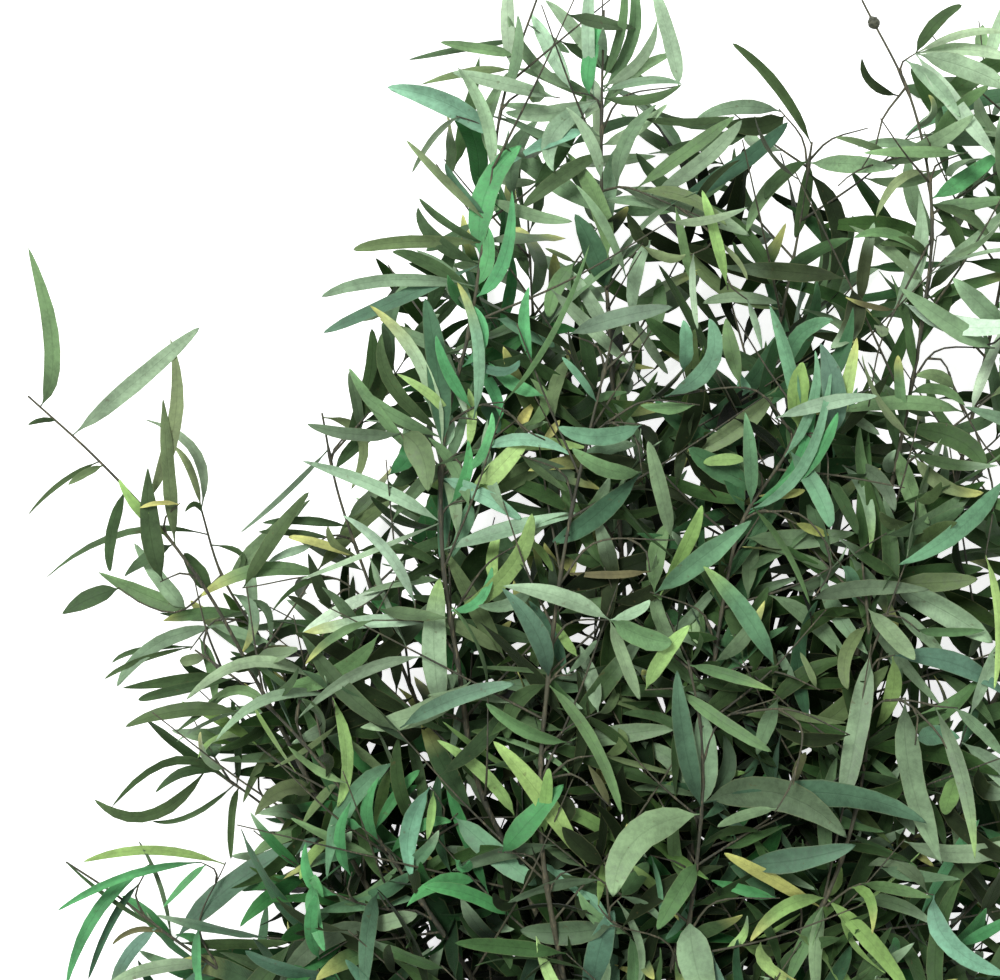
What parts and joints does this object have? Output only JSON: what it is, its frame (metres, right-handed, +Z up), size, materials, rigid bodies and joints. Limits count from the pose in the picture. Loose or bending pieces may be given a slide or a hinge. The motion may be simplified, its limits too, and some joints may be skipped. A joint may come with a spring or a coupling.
{
  "type": "preserved eucalyptus bunch",
  "caption": "Tied bunch of preserved willow-leaved eucalyptus stems lying on its side, fanning out from a twine tie into narrow curved leaves.",
  "frame": {"origin": "middle of the tie's flat lowest facet, on the surface that the bunch lies on", "axes": "+Z up from the surface, +Y along the stems from the cut ends toward the leafy tips, +X to the right of someone who looks down with the tips away from them"},
  "size_m": [0.6738, 0.8137, 0.189],
  "materials": {
    "foliage": "matt to faintly waxy preserved leaf and thin woody stem",
    "twine": "rough natural jute twine"
  },
  "bodies": {
    "root": {"leafy_stem_01": "foliage", "leafy_stem_02": "foliage", "leafy_stem_03": "foliage", "leafy_stem_04": "foliage", "leafy_stem_05": "foliage", "leafy_stem_06": "foliage", "leafy_stem_07": "foliage", "leafy_stem_08": "foliage", "leafy_stem_09": "foliage", "leafy_stem_10": "foliage", "leafy_stem_11": "foliage", "leafy_stem_12": "foliage", "leafy_stem_13": "foliage", "leafy_stem_14": "foliage", "leafy_stem_15": "foliage", "leafy_stem_16": "foliage", "leafy_stem_17": "foliage", "leafy_stem_18": "foliage", "leafy_stem_19": "foliage", "twine_tie": "twine"}
  },
  "joints": []
}
